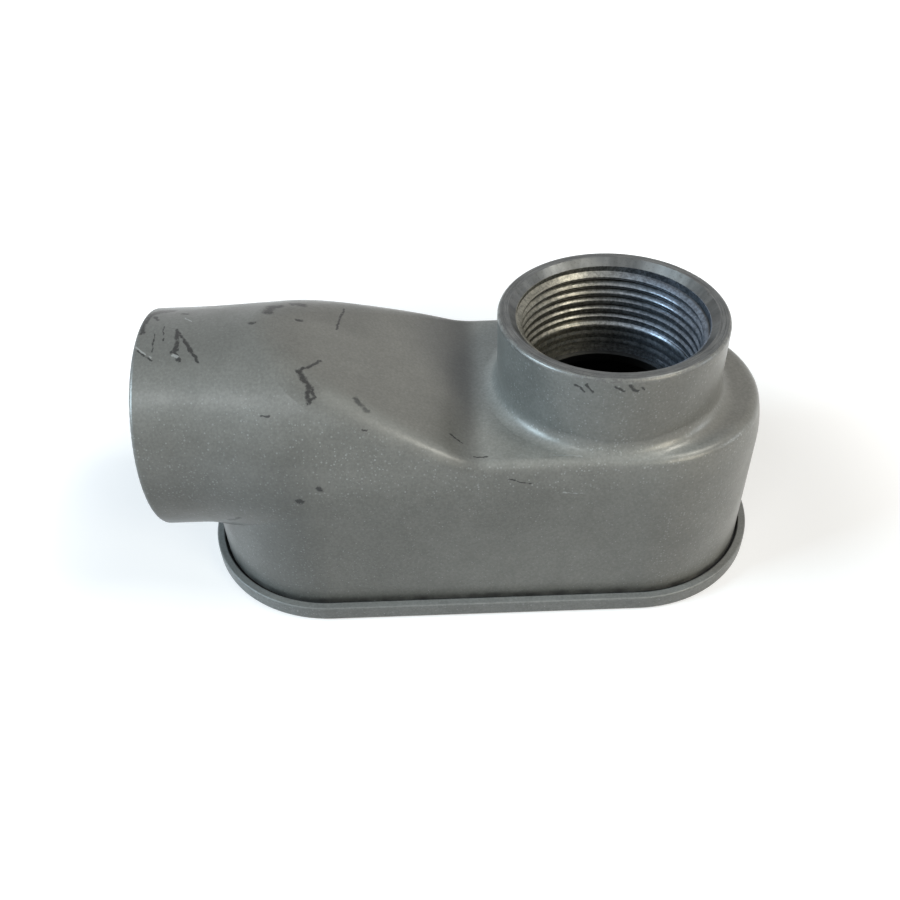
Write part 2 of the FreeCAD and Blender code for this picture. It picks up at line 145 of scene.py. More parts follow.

# Rubs and scratches seen on the photograph, and a painted highlight along the ramp's ridge: points
# in its pixels, and width in millimetres
DARK_MARKS = [
    (((142, 333), (143, 324), (147, 317)), 1.10),
    (((146, 323), (152, 315)), 0.80),
    (((152, 315), (160, 312), (172, 311)), 1.80),
    (((155, 317), (158, 320)), 0.60),
    (((164, 327), (163, 341)), 0.30),
    (((154, 333), (153, 352)), 0.30),
    (((137, 351), (144, 356), (152, 361)), 0.35),
    (((177, 330), (187, 345), (198, 362)), 0.55),
    (((177, 331), (177, 345), (174, 352)), 0.80),
    (((171, 353), (178, 349)), 0.65),
    (((174, 352), (179, 361)), 0.60),
    (((250, 323), (255, 323)), 0.90),
    (((183, 314), (187, 314)), 0.80),
    (((268, 312), (271, 307)), 1.80),
    (((272, 308), (281, 306)), 1.20),
    (((228, 520), (240, 518)), 0.70),
    (((292, 304), (302, 305)), 1.60),
    (((296, 320), (302, 321)), 0.70),
    (((348, 302), (341, 316), (336, 329)), 0.45),
    (((320, 361), (308, 367), (297, 372)), 0.60),
    (((298, 371), (302, 376), (306, 382), (309, 386)), 1.10),
    (((310, 387), (308, 394), (309, 402)), 0.95),
    (((312, 390), (315, 397), (307, 404)), 0.50),
    (((355, 399), (361, 405), (367, 411)), 1.05),
    (((261, 416), (269, 416)), 0.40),
    (((363, 429), (367, 430)), 0.35),
    (((450, 434), (462, 443)), 0.40),
    (((474, 457), (488, 457)), 0.35),
    (((509, 479), (532, 484)), 0.30),
    (((298, 501), (302, 502)), 1.00),
    (((318, 488), (322, 490)), 0.80),
    (((576, 385), (584, 391)), 0.55),
    (((586, 384), (593, 392)), 0.50),
    (((616, 387), (624, 391)), 0.50),
    (((630, 386), (637, 391)), 0.60),
    (((641, 388), (645, 389)), 0.45),
]
LIGHT_MARKS = [
    (((135, 347), (144, 354), (151, 358)), 0.30),
    (((173, 356), (177, 357)), 0.45),
    (((552, 455), (582, 456)), 0.25),
    (((563, 493), (583, 493)), 0.20),
    (((186, 318), (191, 322)), 0.25),
]
# Painted highlight: a soft light band along the ramp's ridge
RIDGE_HIGHLIGHT_LINES = [
    (((330, 396), (358, 409), (386, 421), (412, 435), (438, 447)), 4.0),
]
MARK_STEP_PX = 14
NUDGE = 1e-9

# Colours as display levels of 0 to 255
PAINT = (118, 118, 114)
COVER_PAINT = (119, 120, 118)
# Flecks of the paint, partly painted glints
FLECK_DULL = (136, 139, 137)
FLECK_BRIGHT = (172, 175, 173)
RUB = (24, 24, 25)
SCRATCH = (166, 169, 168)
# Colour of the painted highlight along the ramp's ridge
RIDGE_HIGHLIGHT_TONE = (172, 174, 170)
# Painted shade, mottled with dirt, at the casting's foot
RIM_SHADE_AND_DIRT = (40, 42, 42)
# Painted shade inside the wire chamber
CHAMBER_PAINTED_SHADE = (16, 16, 16)
BARE_DULL = (90, 93, 95)
BARE_BRIGHT = (122, 123, 121)
BARE_SPECK = (84, 84, 82)
# Painted shade in the gap between the cover's lip and the casting
GAP_PAINTED_SHADE = (22, 23, 24)
LIP_DIRT = (58, 58, 56)
# Painted reflection in the thread: olive on one side, bluish on the other
THREAD_WARM_REFLECTION = ((106, 105, 99), (142, 139, 126))
THREAD_BLUE_REFLECTION = ((88, 96, 105), (118, 127, 140))
# Darker colour of the thread's roots
THREAD_ROOT_DARK = (52, 52, 50)
RUBBER = ((34, 34, 36), (52, 52, 53))
STEEL = ((166, 164, 158), (206, 203, 196))

# Sizes of the surface's features in millimetres, and heights of its bumps
BROAD_SIZE = 26
CLOUD_SIZE = 5
GRAIN_SIZE = 0.6
FLECK_SIZE = 0.62
PEEL_SIZE = 2.4
PIT_SIZE = 0.5
ROUGH_SIZE = 7
WOBBLE_SIZE = 1.6
WOBBLE_REACH = 1.2
FRAY_SIZE = 0.8
BURR_SIZE = 0.7
PAINT_BUMP = 0.05
THREAD_BUMP = 0.012
RUBBER_BUMP = 0.03
STEEL_BUMP = 0.01
PAINT_METAL = 0.12
THREAD_METAL = 0.8
BARE_ROUGH = 0.42

# Soft studio lamps: name, place, side, power in watts and colour
LAMPS = [
    ("window", (-0.80, -0.22, 0.52), 0.30, 6.7, (0.68, 0.87, 1.0)),
    ("low_window", (-0.95, -0.05, 0.22), 0.30, 1.4, (0.72, 0.86, 1.0)),
    ("front", (-0.33, -0.50, 0.76), 0.16, 0.6, (0.92, 0.97, 1.0)),
    ("warm", (0.55, -0.58, 0.50), 0.34, 2.9, (1.0, 0.92, 0.76)),
    ("right", (0.48, -0.14, 0.84), 0.22, 2.5, (1.0, 0.97, 0.88)),
    ("low_right", (0.90, -0.10, 0.28), 0.30, 1.2, (0.86, 0.94, 1.0)),
]
LAMP_TARGET = Vector((-0.03, 0.0, 0.03))
WORLD_COLOUR = (0.86, 0.92, 1.0, 1.0)
WORLD_STRENGTH = 0.04

# The floor's reach, the light that it throws back, its shown shades, and where its glow is full
FLOOR_REACH = 6.0
FLOOR_BOUNCE = 0.35
FLOOR_SHADES = (0.58, 0.62)
FLOOR_CLOUD_SIZE = 60
FLOOR_MIDDLE = -32 * MM
FLOOR_FADE = (85 * MM, 170 * MM)
FLOOR_GLOW = 0.52


class Graph:
    """Short way to write the node graph of a material."""

    def __init__(self, name):
        self.material = bpy.data.materials.new(name)
        self.material.use_nodes = True
        self.tree = self.material.node_tree
        self.shader = self.tree.nodes["Principled BSDF"]
        self.point = self.node("TexCoord", {}).outputs["Object"]

    def feed(self, socket, value):
        """Link a socket, or give it a plain value."""
        if isinstance(value, bpy.types.NodeSocket):
            self.tree.links.new(value, socket)
        else:
            socket.default_value = value

    def node(self, kind, inputs, **settings):
        """New node with settings and inputs, which are named or numbered."""
        made = self.tree.nodes.new("ShaderNode" + kind)
        for name, value in settings.items():
            setattr(made, name, value)
        for socket, value in inputs.items():
            self.feed(made.inputs[socket], value)
        return made

    def math(self, operation, first, second=0.0, third=0.0):
        """One math step."""
        return self.node("Math", {0: first, 1: second, 2: third}, operation=operation).outputs[0]

    def vector(self, operation, first, second, third=(0.0, 0.0, 0.0)):
        """One step of vector math."""
        made = self.node("VectorMath", {0: first, 1: second, 2: third}, operation=operation)
        return made.outputs[0]

    def stretch(self, factors):
        """The point with each coordinate multiplied."""
        return self.vector("MULTIPLY", self.point, factors)

    def noise(self, size_mm, detail=2.0, roughness=0.5, at=None, seed=0.0):
        """Noise with features of about this size, as a value from 0 to 1."""
        place = self.point if at is None else at
        moved = self.vector("ADD", place, (seed, seed * 0.7, seed * 0.3))
        made = self.node("TexNoise", {"Vector": moved, "Scale": 1 / (size_mm * MM),
                                      "Detail": detail, "Roughness": roughness})
        return made.outputs["Fac"]

    def step(self, value, low, high, to_low=0.0, to_high=1.0):
        """Smooth step of a value between two levels."""
        made = self.node("MapRange", {"Value": value, "From Min": low, "From Max": high,
                                      "To Min": to_low, "To Max": to_high},
                         interpolation_type="SMOOTHSTEP")
        return made.outputs["Result"]

    def fall(self, value, low, high):
        """Smooth step of a value from 1 down to 0."""
        return self.step(value, low, high, 1.0, 0.0)

    def product(self, *values):
        """Product of several values."""
        total = values[0]
        for value in values[1:]:
            total = self.math("MULTIPLY", total, value)
        return total

    def scaled(self, colour, share):
        """Colour made lighter or darker."""
        made = self.node("VectorMath", {0: colour, "Scale": share}, operation="SCALE")
        return made.outputs[0]

    def mix(self, share, first, second):
        """Colour mix."""
        made = self.node("Mix", {0: share}, data_type="RGBA")
        self.feed(made.inputs[6], first)
        self.feed(made.inputs[7], second)
        return made.outputs[2]

    def blend(self, share, first, second):
        """Mix of two plain values."""
        made = self.node("Mix", {0: share, 2: first, 3: second}, data_type="FLOAT")
        return made.outputs[0]

    def split(self, vector):
        """The three coordinates of a vector."""
        return self.node("SeparateXYZ", {0: vector}).outputs

    def bump(self, height, distance_mm):
        """Bump whose full height is this many millimetres."""
        made = self.node("Bump", {"Strength": 1.0, "Distance": distance_mm * MM, "Height": height})
        return made.outputs["Normal"]


def grey(level):
    """Opaque neutral colour."""
    return (level, level, level, 1.0)


def tone(red, green, blue):
    """Opaque colour from display levels of 0 to 255, as linear light."""
    linear = [((level / 255 + 0.055) / 1.055) ** 2.4 for level in (red, green, blue)]
    return (*linear, 1.0)


def camera_axes():
    """Rows of the camera's right, down and forward directions."""
    level = Vector((1, 0, 0))
    forward = Vector((0, math.cos(CAMERA_PITCH), -math.sin(CAMERA_PITCH)))
    down = Vector((0, -math.sin(CAMERA_PITCH), -math.cos(CAMERA_PITCH)))
    right = math.cos(CAMERA_ROLL) * level + math.sin(CAMERA_ROLL) * down
    below = -math.sin(CAMERA_ROLL) * level + math.cos(CAMERA_ROLL) * down
    turn = Matrix.Rotation(CAMERA_YAW, 3, "Z")
    return [turn @ axis for axis in (right, below, forward)]


def make_camera():
    """The camera at the photograph's place."""
    right, down, forward = camera_axes()
    data = bpy.data.cameras.new("photo_camera")
    data.sensor_width = SENSOR_MM
    data.lens = FOCAL_PX / IMAGE_PX * SENSOR_MM
    data.clip_start = CLIP_START
    camera = bpy.data.objects.new("photo_camera", data)
    turn = Matrix((right, -down, -forward)).transposed()
    camera.matrix_world = Matrix.Translation(CAMERA_AT) @ turn.to_4x4()
    bpy.context.scene.collection.objects.link(camera)
    bpy.context.scene.camera = camera


def add_lamp(name, at, size, power, colour):
    """Square soft lamp that points at the part."""
    data = bpy.data.lights.new(name, "AREA")
    data.shape = "SQUARE"
    data.size = size
    data.energy = power
    data.color = colour
    lamp = bpy.data.objects.new(name, data)
    lamp.location = at
    lamp.rotation_mode = "QUATERNION"
    lamp.rotation_quaternion = (LAMP_TARGET - Vector(at)).to_track_quat("-Z", "Y")
    bpy.context.scene.collection.objects.link(lamp)


def light_the_scene():
    """Lamps, and a world that is white to the camera and to reflections."""
    for lamp in LAMPS:
        add_lamp(*lamp)
    world = bpy.data.worlds.new("studio")
    bpy.context.scene.world = world
    world.use_nodes = True
    tree = world.node_tree
    tree.nodes.clear()
    light = tree.nodes.new("ShaderNodeBackground")
    light.inputs["Color"].default_value = WORLD_COLOUR
    light.inputs["Strength"].default_value = WORLD_STRENGTH
    shown = tree.nodes.new("ShaderNodeBackground")
    shown.inputs["Color"].default_value = grey(1.0)
    path = tree.nodes.new("ShaderNodeLightPath").outputs
    chosen = tree.nodes.new("ShaderNodeMixShader")
    output = tree.nodes.new("ShaderNodeOutputWorld")
    seen = path["Is Camera Ray"]
    for kind in ("Is Glossy Ray", "Is Transmission Ray"):
        either = tree.nodes.new("ShaderNodeMath")
        either.operation = "MAXIMUM"
        tree.links.new(seen, either.inputs[0])
        tree.links.new(path[kind], either.inputs[1])
        seen = either.outputs[0]
    tree.links.new(seen, chosen.inputs[0])
    tree.links.new(light.outputs[0], chosen.inputs[1])
    tree.links.new(shown.outputs[0], chosen.inputs[2])
    tree.links.new(chosen.outputs[0], output.inputs[0])
    bpy.context.scene.view_settings.view_transform = "Standard"


def floor_material():
    """Matt white table, which throws back less light than it shows."""
    graph = Graph("table_white")
    path = graph.node("LightPath", {}).outputs
    seen = graph.math("MAXIMUM", path["Is Camera Ray"],
                      graph.math("MAXIMUM", path["Is Glossy Ray"], path["Is Transmission Ray"]))
    shown = graph.mix(graph.noise(FLOOR_CLOUD_SIZE, 2), *[grey(level) for level in FLOOR_SHADES])
    graph.feed(graph.shader.inputs["Base Color"], graph.mix(seen, grey(FLOOR_BOUNCE), shown))
    x, y = graph.split(graph.point)[:2]
    away = length_of(graph, graph.math("SUBTRACT", x, FLOOR_MIDDLE), y)
    far = graph.step(away, *FLOOR_FADE, FLOOR_GLOW, 1.0)
    graph.shader.inputs["Emission Color"].default_value = grey(1.0)
    graph.feed(graph.shader.inputs["Emission Strength"], graph.math("MULTIPLY", far, seen))
    graph.shader.inputs["Roughness"].default_value = 0.9
    graph.shader.inputs["Specular IOR Level"].default_value = 0.1
    return graph.material


def make_floor():
    """Wide pale floor under the part."""
    mesh = bpy.data.meshes.new("floor")
    corners = [(-1, -1), (1, -1), (1, 1), (-1, 1)]
    mesh.from_pydata([(x * FLOOR_REACH, y * FLOOR_REACH, FLOOR_Z) for x, y in corners],
                     [], [(0, 1, 2, 3)])
    floor = bpy.data.objects.new("floor", mesh)
    floor.data.materials.append(floor_material())
    bpy.context.scene.collection.objects.link(floor)


def length_of(graph, first, second):
    """Length of a flat vector given by two coordinates."""
    return graph.math("SQRT", graph.math("ADD", graph.math("MULTIPLY", first, first),
                                         graph.math("MULTIPLY", second, second)))


def band(graph, value, low, high, blur):
    """1 where a value lies between two limits, 0 outside."""
    return graph.product(graph.step(value, low - blur, low + blur),
                         graph.fall(value, high - blur, high + blur))


def line_group():
    """Node group: closeness to the line between two points, 1 on it and 0 at the width.
    It keeps the larger of this and the value before, and passes the point on."""
    tree = bpy.data.node_groups.new("mark_line", "ShaderNodeTree")
    for name, kind in (("Point", "Vector"), ("Before", "Float"), ("From", "Vector"),
                       ("Along", "Vector"), ("Square", "Float"), ("Width", "Float")):
        tree.interface.new_socket(name, in_out="INPUT", socket_type="NodeSocket" + kind)
    tree.interface.new_socket("Point", in_out="OUTPUT", socket_type="NodeSocketVector")
    tree.interface.new_socket("Value", in_out="OUTPUT", socket_type="NodeSocketFloat")
    given = tree.nodes.new("NodeGroupInput").outputs
    result = tree.nodes.new("NodeGroupOutput").inputs

    def vector(operation, output, inputs):
        made = tree.nodes.new("ShaderNodeVectorMath")
        made.operation = operation
        for key, value in inputs.items():
            tree.links.new(value, made.inputs[key])
        return made.outputs[output]

    def scalar(operation, first, second, clamp=False):
        made = tree.nodes.new("ShaderNodeMath")
        made.operation = operation
        made.use_clamp = clamp
        for socket, value in zip(made.inputs, (first, second)):
            if isinstance(value, float):
                socket.default_value = value
            else:
                tree.links.new(value, socket)
        return made.outputs[0]

    off = vector("SUBTRACT", "Vector", {0: given["Point"], 1: given["From"]})
    reach = vector("DOT_PRODUCT", "Value", {0: off, 1: given["Along"]})
    share = scalar("DIVIDE", reach, given["Square"], True)
    foot = vector("SCALE", "Vector", {0: given["Along"], "Scale": share})
    gap = vector("DISTANCE", "Value", {0: off, 1: foot})
    near = scalar("SUBTRACT", 1.0, scalar("DIVIDE", gap, given["Width"]))
    kept = scalar("MAXIMUM", given["Before"], near)
    tree.links.new(kept, result["Value"])
    nudge = scalar("MULTIPLY", kept, NUDGE)
    tree.links.new(vector("ADD", "Vector", {0: given["Point"], 1: nudge}), result["Point"])
    return tree


def surface_points(tree, pixels):
    """Where the camera's rays through a polyline of pixels meet the housing."""
    right, down, forward = camera_axes()
    found = []
    for (u0, v0), (u1, v1) in zip(pixels, pixels[1:]):
        steps = max(1, math.ceil(math.hypot(u1 - u0, v1 - v0) / MARK_STEP_PX))
        for number in range(0 if not found else 1, steps + 1):
            share = number / steps
            across = (u0 + (u1 - u0) * share - IMAGE_PX / 2) / FOCAL_PX
            below = (v0 + (v1 - v0) * share - IMAGE_PX / 2) / FOCAL_PX
            ray = (forward + right * across + down * below).normalized()
            hit = tree.ray_cast(CAMERA_AT, ray)[0]
            if hit is not None:
                found.append(hit)
    return found


def draw_marks(graph, marks, point):
    """Strength of a list of marks at the shaded point, and the point passed on."""
    total = 0.0
    for pixels, width in marks:
        places = surface_points(HOUSING_TREE, pixels)
        for start, stop in zip(places, places[1:]):
            along = stop - start
            made = graph.node("Group", {}, node_tree=LINE_GROUP)
            graph.feed(made.inputs["Point"], point)
            graph.feed(made.inputs["Before"], total)
            made.inputs["From"].default_value = start
            made.inputs["Along"].default_value = along
            made.inputs["Square"].default_value = max(along.length_squared, NUDGE)
            made.inputs["Width"].default_value = width * MM
            point, total = made.outputs["Point"], made.outputs["Value"]
    return point, total


def hub_zones(graph):
    """Machined zones and worn edges of both hubs, and a place along their turned rings."""
    x, y, z = graph.split(graph.point)
    lifted = graph.math("SUBTRACT", z, HUB_AXIS_Z)
    zones = []
    for first, second, deep in ((x, y, graph.math("SUBTRACT", BACK_FACE, z)),
                                (y, lifted, graph.math("SUBTRACT", x, END_FACE))):
        out = length_of(graph, first, second)
        around = graph.math("ARCTAN2", first, second)
        machined = graph.product(graph.fall(out, *MACHINED_RADIUS),
                                 graph.fall(deep, *MACHINED_END))
        edge = graph.product(graph.fall(deep, *EDGE_DEPTH),
                             band(graph, out, *EDGE_RADIUS, EDGE_BLUR))
        rings = graph.node("CombineXYZ", {"X": graph.math("ADD", out, deep),
                                          "Y": graph.math("MULTIPLY", around, RING_STRETCH)})
        zones.append((machined, edge, rings.outputs[0]))
    return zones


def fleck_and_glint_share(graph):
    """Share of bright fleck at the shaded point, and how bright that fleck is. The flecks are the
    paint's own light flakes and painted glints, fewer on faces that look up.
    """
    flecks = graph.node("TexVoronoi", {"Vector": graph.point, "Scale": 1 / (FLECK_SIZE * MM),
                                       "Randomness": 1.0}, feature="F1")
    lucky, size, bright = graph.split(flecks.outputs["Color"])
    spot = graph.math("LESS_THAN", flecks.outputs["Distance"],
                      graph.step(size, 0.0, 1.0, 0.12, 0.36))
    rare = graph.step(graph.noise(9, 2, seed=8.0), 0.35, 0.65, 0.60, 0.20)
    chosen = graph.math("GREATER_THAN", lucky, rare)
    # Painted glints: flecks are fewer on faces that look up
    up = graph.split(graph.node("NewGeometry", {}).outputs["Normal"])[2]
    return graph.product(spot, chosen, graph.step(up, 0.55, 0.85, 1.0, 0.25)), bright


def paint_layers(graph, base):
    """Colour and height of grey paint with fine bright flecks, partly painted glints, over a cast
    surface.
    """
    broad = graph.noise(BROAD_SIZE, 2, seed=3.1)
    cloud = graph.noise(CLOUD_SIZE, 3, seed=1.7)
    grain = graph.noise(GRAIN_SIZE, 2, 0.6, seed=0.4)
    darker = tone(*[level - 5 for level in base])
    lighter = tone(*[level + 4 for level in base])
    colour = graph.mix(graph.step(broad, 0.35, 0.65), darker, lighter)
    colour = graph.scaled(colour, graph.product(graph.step(grain, 0.25, 0.75, 0.88, 1.12),
                                                graph.step(cloud, 0.3, 0.7, 0.96, 1.04)))
    fleck, bright = fleck_and_glint_share(graph)
    colour = graph.mix(graph.math("MULTIPLY", fleck, 0.5), colour,
                       graph.mix(bright, tone(*FLECK_DULL), tone(*FLECK_BRIGHT)))
    peel = graph.product(graph.noise(PEEL_SIZE, 2, seed=5.0), 0.7)
    pits = graph.product(graph.noise(PIT_SIZE, 3, 0.6, seed=6.0), 0.3)
    return colour, graph.math("ADD", peel, pits)


def painted_light_patches(graph):
    """Painted light and shade on the paint: darker at the ramp's foot, on the crest, beyond it and
    under the end hub, lighter on the flats by the back hub.
    """
    x, y, z = graph.split(graph.point)
    top = graph.step(z, *FLAT_RISE)
    foot = graph.product(graph.math("POWER", graph.step(x, FOOT_START, FOOT_END[0]), 2.0),
                         graph.fall(x, *FOOT_END), graph.step(y, *FOOT_SIDE, 0.35, 1.0), top)
    flat = graph.product(top, graph.step(x, *FOOT_END), graph.fall(x, *FLAT_END),
                         graph.fall(z, *FLAT_UPPER))
    crest = graph.product(graph.fall(x, *CREST_END), graph.step(z, *CREST_RISE))
    beyond = graph.product(graph.fall(x, *BEYOND_END), graph.step(z, *BEYOND_RISE),
                           graph.step(y, *BEYOND_SIDE))
    under = graph.product(graph.fall(x, *UNDER_END), graph.fall(z, *UNDER_TOP))
    shade = 1.0
    for patch, change in ((foot, FOOT_PAINTED_SHADE), (flat, FLAT_PAINTED_LIGHT), (crest, CREST_PAINTED_SHADE),
                          (beyond, BEYOND_PAINTED_SHADE), (under, UNDER_PAINTED_SHADE)):
        shade = graph.math("MULTIPLY_ADD", patch, change, shade)
    return shade


def plan_distance(graph):
    """Distance in plan from the line between the centres of the body's round ends."""
    x, y = graph.split(graph.point)[:2]
    middle = (SHELL_ENDS[0] + SHELL_ENDS[1]) / 2
    half = (SHELL_ENDS[1] - SHELL_ENDS[0]) / 2
    off = graph.math("ABSOLUTE", graph.math("SUBTRACT", x, middle))
    past = graph.math("MAXIMUM", graph.math("SUBTRACT", off, half), 0.0)
    return length_of(graph, past, y)


def inside_mask(graph):
    """1 on the walls of the wire chamber, 0 on the outside of the casting."""
    z = graph.split(graph.point)[2]
    return graph.product(graph.fall(z, *CHAMBER_TOP),
                         graph.fall(plan_distance(graph), *CHAMBER_WALL))


def wavering_point(graph):
    """The shaded point moved a little by noise, so that drawn lines waver."""
    noise = graph.node("TexNoise", {"Vector": graph.point, "Scale": 1 / (WOBBLE_SIZE * MM),
                                    "Detail": 3.0})
    move = graph.vector("SUBTRACT", noise.outputs["Color"], (0.5, 0.5, 0.5))
    return graph.vector("MULTIPLY_ADD", move, (WOBBLE_REACH * MM,) * 3, graph.point)


def marked(graph, colour):
    """Paint with its rubs, scratches and a painted highlight along the ramp's ridge, and the share
    of scratch.
    """
    fray = graph.noise(FRAY_SIZE, 3, 0.7, seed=4.4)
    place, dark = draw_marks(graph, DARK_MARKS, wavering_point(graph))
    place, light = draw_marks(graph, LIGHT_MARKS, place)
    ridge = draw_marks(graph, RIDGE_HIGHLIGHT_LINES, place)[1]
    dark = graph.step(graph.product(dark, graph.step(fray, 0.30, 0.60, 0.45, 1.0)), 0.10, 0.60)
    light = graph.step(graph.product(light, graph.step(fray, 0.30, 0.60, 0.4, 1.0)), 0.12, 0.5)
    colour = graph.mix(graph.product(dark, 0.9), colour, tone(*RUB))
    colour = graph.mix(graph.product(light, 0.7), colour, tone(*SCRATCH))
    # Painted highlight along the ramp's ridge
    ridge = graph.product(graph.step(ridge, 0.0, 1.0), 0.18)
    return graph.mix(ridge, colour, tone(*RIDGE_HIGHLIGHT_TONE)), light


def bare_colour(graph):
    """Colour of machined aluminium with small dark specks."""
    bare = graph.mix(graph.noise(3, 3, seed=9.0), tone(*BARE_DULL), tone(*BARE_BRIGHT))
    speck = graph.step(graph.noise(0.5, 3, 0.7, seed=9.5), 0.56, 0.66)
    return graph.mix(graph.product(speck, 0.6), bare, tone(*BARE_SPECK))


def casting_material():
    """Painted casting with machined hubs, worn hub edges and rubs, painted light and shade on its
    paint, painted shade in the chamber, and painted shade mottled with dirt at its foot.
    """
    graph = Graph("painted_casting")
    colour, height = paint_layers(graph, PAINT)
    # The paint's colour is scaled by its patches of painted light and shade
    colour, light = marked(graph, graph.scaled(colour, painted_light_patches(graph)))
    rough = graph.step(graph.noise(ROUGH_SIZE, 2, seed=2.2), 0.3, 0.7, 0.30, 0.38)
    metal = graph.product(light, 0.5)

    # Painted shade at the casting's foot, where it stands in the cover's lip, mottled with dirt
    dirt = graph.step(graph.noise(3.5, 3, seed=7.0), 0.25, 0.75, 0.45, 1.0)
    rim = graph.product(graph.fall(graph.split(graph.point)[2], *RIM_SHADE_AND_DIRT_TOP), dirt, 0.75)
    colour = graph.mix(rim, colour, tone(*RIM_SHADE_AND_DIRT))
    # Painted shade: the walls of the wire chamber are made dark where the inside lies in shade
    colour = graph.mix(inside_mask(graph), colour, tone(*CHAMBER_PAINTED_SHADE))

    bare = bare_colour(graph)
    for machined, edge, rings in hub_zones(graph):
        patchy = graph.step(graph.noise(1.6, 4, 0.7, seed=3.3), 0.40, 0.58, 0.15, 0.9)
        shown = graph.math("MAXIMUM", machined, graph.product(edge, patchy))
        turning = graph.noise(0.22, 3, 0.7, at=rings, seed=6.6)
        streaked = graph.scaled(bare, graph.step(turning, 0.3, 0.7, 0.50, 1.15))
        colour = graph.mix(shown, colour, streaked)
        metal = graph.math("MAXIMUM", metal, shown)
        rough = graph.blend(shown, rough, BARE_ROUGH)
        height = graph.blend(machined, height, turning)
    graph.feed(graph.shader.inputs["Base Color"], colour)
    graph.feed(graph.shader.inputs["Metallic"], graph.blend(metal, PAINT_METAL, 1.0))
    graph.feed(graph.shader.inputs["Roughness"], rough)
    graph.feed(graph.shader.inputs["Normal"], graph.bump(height, PAINT_BUMP))
    return graph.material


def cover_material():
    """Painted cover, with painted shade in the gap behind its lip, and scuffed on the lip."""
    graph = Graph("painted_cover")
    colour, peel = paint_layers(graph, COVER_PAINT)
    z = graph.split(graph.point)[2]
    # Painted shade in the gap behind the lip
    gap = graph.product(graph.fall(plan_distance(graph), *LIP_GAP), graph.step(z, *TRAY_TOP), 0.9)
    colour = graph.mix(gap, colour, tone(*GAP_PAINTED_SHADE))
    dirt = graph.step(graph.noise(2.0, 4, 0.65, seed=5.5), 0.50, 0.66)
    foot = graph.blend(graph.fall(z, *LIP_FOOT), 0.15, 0.22)
    colour = graph.mix(graph.product(dirt, foot), colour, tone(*LIP_DIRT))
    graph.feed(graph.shader.inputs["Base Color"], colour)
    graph.shader.inputs["Metallic"].default_value = PAINT_METAL
    graph.feed(graph.shader.inputs["Roughness"],
               graph.step(graph.noise(ROUGH_SIZE, 2, seed=2.2), 0.3, 0.7, 0.42, 0.54))
    graph.feed(graph.shader.inputs["Normal"], graph.bump(peel, PAINT_BUMP))
    return graph.material


def thread_material():
    """Bare cut thread: bright flanks and crests with a painted reflection, bluish on one side and
    olive on the other, darker roots, rough with burrs.
    """
    graph = Graph("bare_thread")
    x, y, z = graph.split(graph.point)
    olive = graph.mix(graph.noise(5, 3, seed=1.0), *[tone(*levels) for levels in THREAD_WARM_REFLECTION])
    blue = graph.mix(graph.noise(5, 3, seed=1.5), *[tone(*levels) for levels in THREAD_BLUE_REFLECTION])
    # Painted reflection: bluish on one side of the bore, olive on the other
    sided_reflection = graph.mix(graph.fall(y, *THREAD_SHADE_SIDE), olive, blue)
    untapered = graph.math("MULTIPLY_ADD", z, THREAD_TAPER, length_of(graph, x, y))
    # Darker in the thread's roots after the first turn, in patches
    root_darkening = graph.product(graph.step(untapered, *THREAD_ROOT), graph.step(z, *FIRST_TURN),
                          graph.step(graph.noise(6, 2, seed=2.0), 0.3, 0.7, 0.7, 1.0))
    colour = graph.mix(root_darkening, sided_reflection, tone(*THREAD_ROOT_DARK))
    burr = graph.step(graph.noise(BURR_SIZE, 4, 0.7, seed=3.7), 0.36, 0.64, 0.60, 1.22)
    colour = graph.scaled(colour, graph.product(burr, graph.step(z, *LAST_TURN, 1.0, 1.5)))
    graph.feed(graph.shader.inputs["Base Color"], colour)
    graph.shader.inputs["Metallic"].default_value = THREAD_METAL
    graph.feed(graph.shader.inputs["Roughness"],
               graph.step(graph.noise(2.5, 2), 0.3, 0.7, 0.30, 0.42))
    rings = graph.noise(1.0, 2, at=graph.stretch((0.1, 0.1, 3.0)), seed=0.2)
    graph.feed(graph.shader.inputs["Normal"], graph.bump(rings, THREAD_BUMP))
    return graph.material


def rubber_material():
    """Black sheet rubber."""
    graph = Graph("gasket_rubber")
    dust = graph.step(graph.noise(1.5, 4, 0.7), 0.5, 0.7)
    graph.feed(graph.shader.inputs["Base Color"],
               graph.mix(dust, *[tone(*levels) for levels in RUBBER]))
    graph.feed(graph.shader.inputs["Roughness"],
               graph.step(graph.noise(3, 2), 0.3, 0.7, 0.62, 0.8))
    graph.feed(graph.shader.inputs["Normal"], graph.bump(graph.noise(0.4, 3), RUBBER_BUMP))
    return graph.material


def steel_material():
    """Turned bright steel with light handling wear."""
    graph = Graph("screw_steel")
    wear = graph.noise(1.2, 4, 0.65)
    graph.feed(graph.shader.inputs["Base Color"],
               graph.mix(wear, *[tone(*levels) for levels in STEEL]))
    graph.shader.inputs["Metallic"].default_value = 1.0
    graph.feed(graph.shader.inputs["Roughness"], graph.step(wear, 0.3, 0.7, 0.22, 0.36))
    fine = graph.noise(0.3, 2, at=graph.stretch((0.3, 0.3, 6.0)))
    graph.feed(graph.shader.inputs["Normal"], graph.bump(fine, STEEL_BUMP))
    return graph.material


